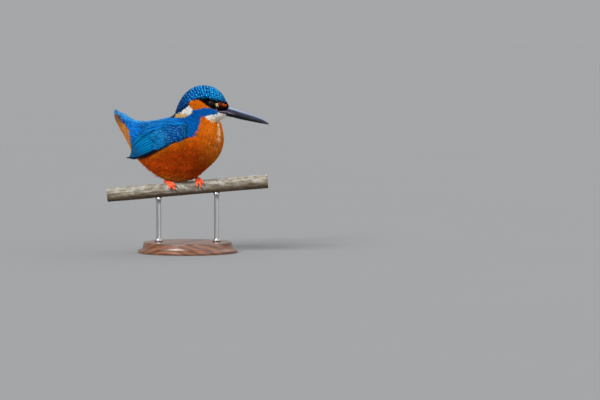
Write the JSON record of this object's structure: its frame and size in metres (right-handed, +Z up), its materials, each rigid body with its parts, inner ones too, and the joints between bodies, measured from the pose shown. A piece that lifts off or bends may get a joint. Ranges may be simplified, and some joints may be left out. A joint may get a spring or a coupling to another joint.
{
  "type": "common kingfisher model",
  "caption": "Life-size still model of a common kingfisher perched on a cut branch, held over a round base by upright rods.",
  "frame": {"origin": "centre of the display base's flat underside", "axes": "+X the way the bird's trunk faces, +Y its left side, +Z up"},
  "size_m": [0.1482, 0.092, 0.1558],
  "materials": {
    "plumage": "feather, blue above and orange below",
    "bill": "dark horn with a soft sheen",
    "eye": "wet dark brown",
    "foot": "fine orange-red scales",
    "claw": "black horn",
    "bark": "weathered grey-brown bark, sawn ends",
    "stand_wood": "turned, satin varnish",
    "stand_steel": "brushed along the rod"
  },
  "bodies": {
    "root": {"head": "plumage", "neck": "plumage", "trunk": "plumage", "tail": "plumage", "wing_right": "plumage", "wing_left": "plumage", "bill_upper": "bill", "bill_lower": "bill", "eye_right": "eye", "eye_left": "eye", "leg_right": "foot", "leg_left": "foot", "perch": "bark", "stand_base": "stand_wood", "stand_rod_rear": "stand_steel", "stand_rod_front": "stand_steel"}
  },
  "joints": []
}
